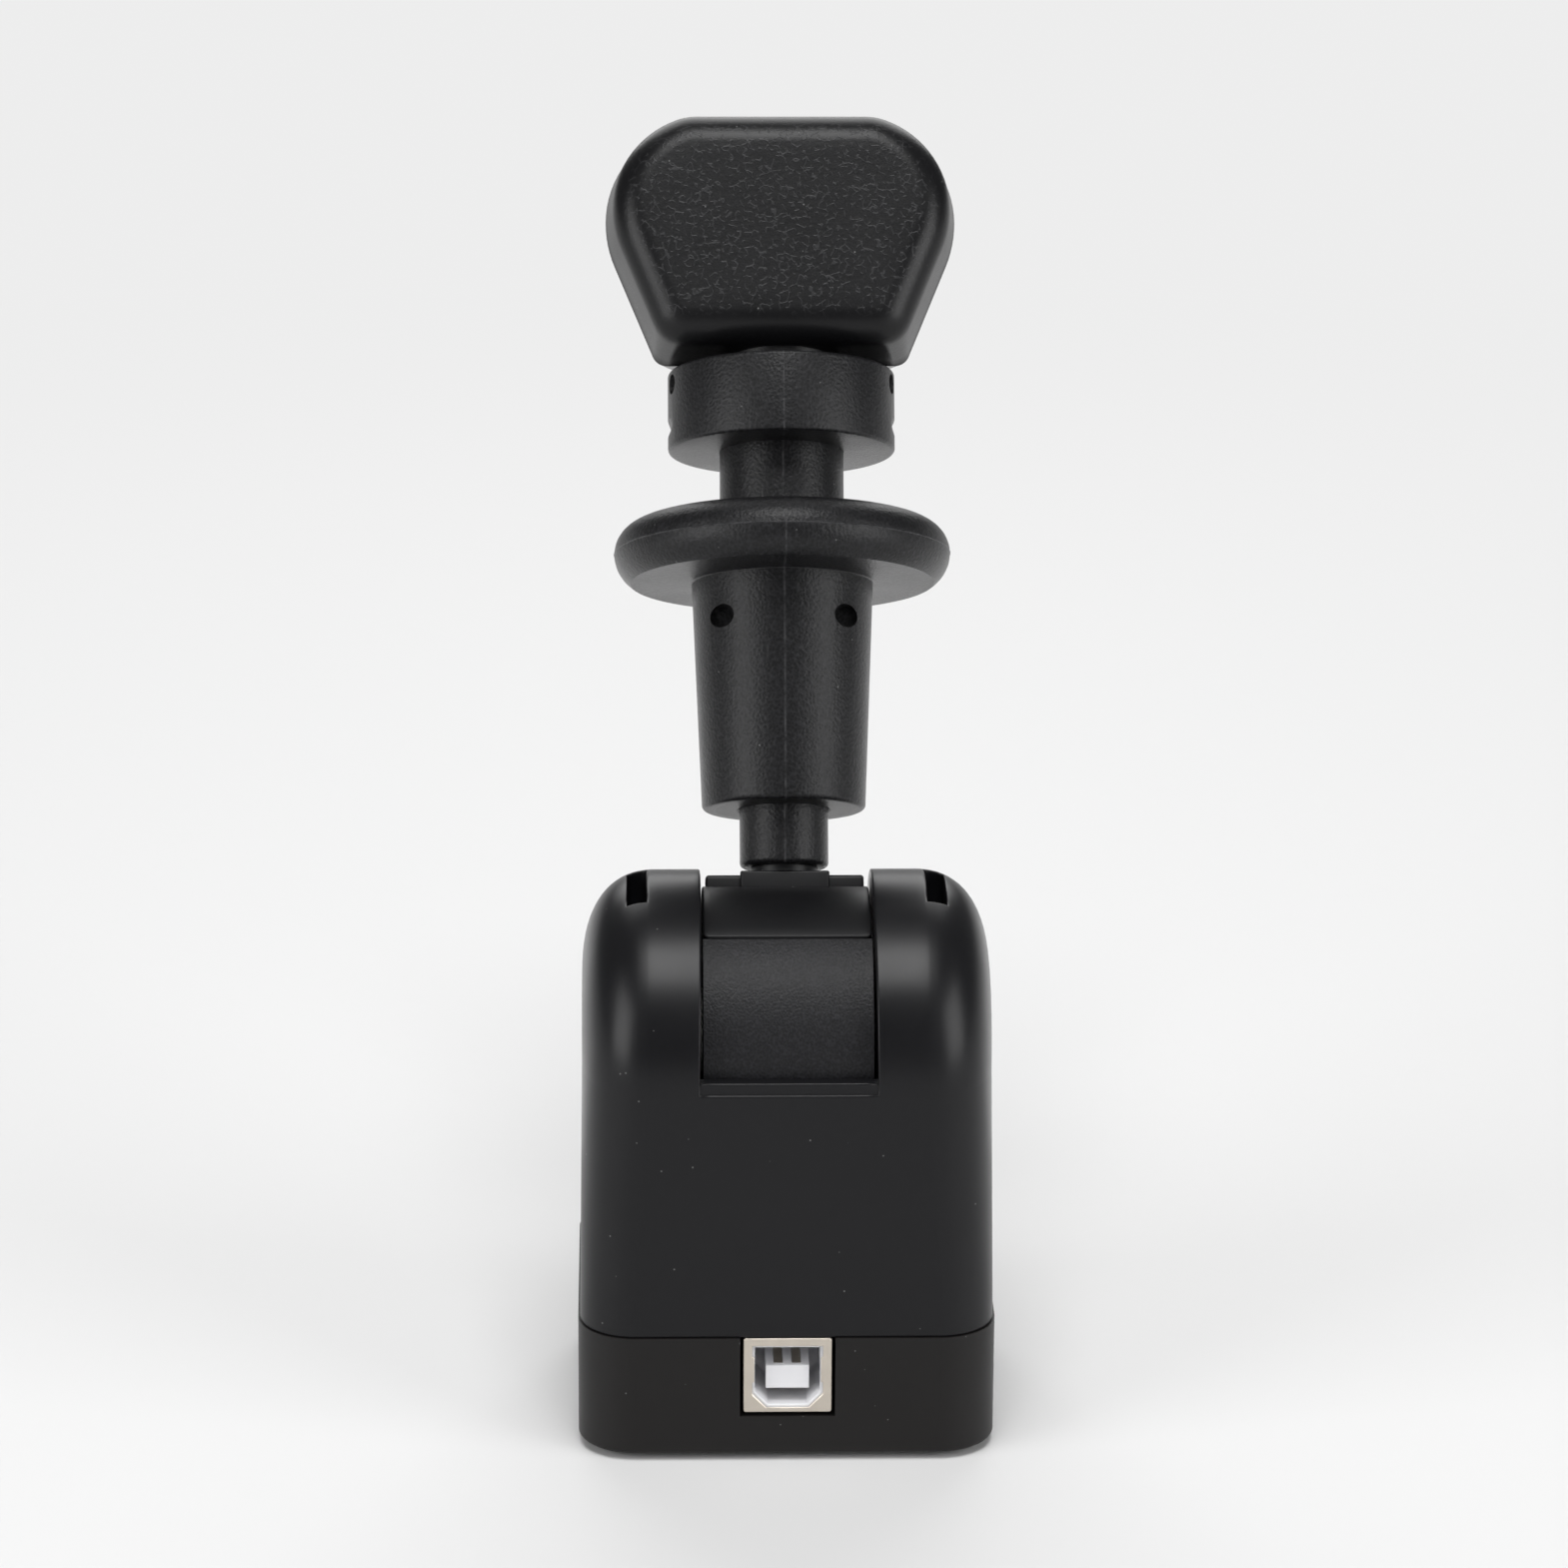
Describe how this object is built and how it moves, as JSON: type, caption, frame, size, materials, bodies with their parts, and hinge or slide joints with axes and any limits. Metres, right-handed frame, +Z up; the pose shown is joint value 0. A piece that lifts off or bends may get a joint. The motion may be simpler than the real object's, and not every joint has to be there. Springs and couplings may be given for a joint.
{
  "type": "simulator park brake lever",
  "caption": "Upright park brake lever for a driving simulator: boxy housing with a USB-B socket, a drum in its slot, and a stem with a pull-up collar and a flat hand knob.",
  "frame": {"origin": "on the floor, right under the lever's pivot", "axes": "+Z up, +X along the pivot shaft to the sensor's side, -Y to the side of the socket; the parked lever leans to +Y"},
  "size_m": [0.0568, 0.0925, 0.1692],
  "materials": {
    "shell_black": "satin",
    "tray_black": "satin",
    "drum_black": "grained",
    "cover_black": "satin",
    "lever_black": "fine grain",
    "knob_black": "leather grain",
    "socket_metal": "plated",
    "socket_white": "smooth",
    "contact": "plated",
    "steel": "machined",
    "zinc": "plated",
    "spring_steel": "drawn",
    "brass": "machined",
    "rubber": "matte",
    "board_green": "coated",
    "chip_black": "moulded",
    "bearing_white": "smooth",
    "bearing_black": "smooth",
    "magnet_grey": "plated"
  },
  "bodies": {
    "base": {"housing_shell": "shell_black", "base_tray": "tray_black", "tray_screws": "zinc", "rubber_pad": "rubber", "mount_inserts": "brass", "main_board": "board_green", "board_screws": "zinc", "microcontroller": "chip_black", "board_chips": "chip_black", "usb_shell": "socket_metal", "usb_insert": "socket_white", "usb_contacts": "contact", "sensor_header": "chip_black", "header_pins": "contact", "sensor_board": "board_green", "sensor_screws": "zinc", "hall_sensor": "chip_black", "bush_left": "bearing_white", "bush_right": "bearing_white", "gate_plate": "steel", "gate_screws": "zinc"},
    "lever": {"drum": "drum_black", "drum_cover": "cover_black", "pivot_shaft": "steel", "retaining_clips": "spring_steel", "magnet": "magnet_grey", "drum_pin": "steel", "lever_stem": "lever_black", "stem_nut": "zinc", "knob_collar": "lever_black", "knob_pin": "lever_black", "knob_shell_rear": "knob_black", "knob_shell_front": "knob_black"},
    "collar": {"lift_collar": "lever_black", "sleeve_bush": "bearing_black", "cross_pin": "steel", "lock_rod": "steel", "spring_washer": "zinc", "lift_spring": "spring_steel"}
  },
  "joints": [
    {"name": "lever_swing", "type": "hinge", "parent": "base", "child": "lever", "pos_m": [0, 0, 0.0526], "axis": [1, 0, 0], "range_deg": [0, 56]},
    {"name": "collar_lift", "type": "slide", "parent": "lever", "child": "collar", "axis": [0, 0.4695, 0.8829], "range_m": [0, 0.008], "stiffness_N_per_m": 300, "springref_m": -0.004, "deforming": ["lift_spring"]}
  ]
}
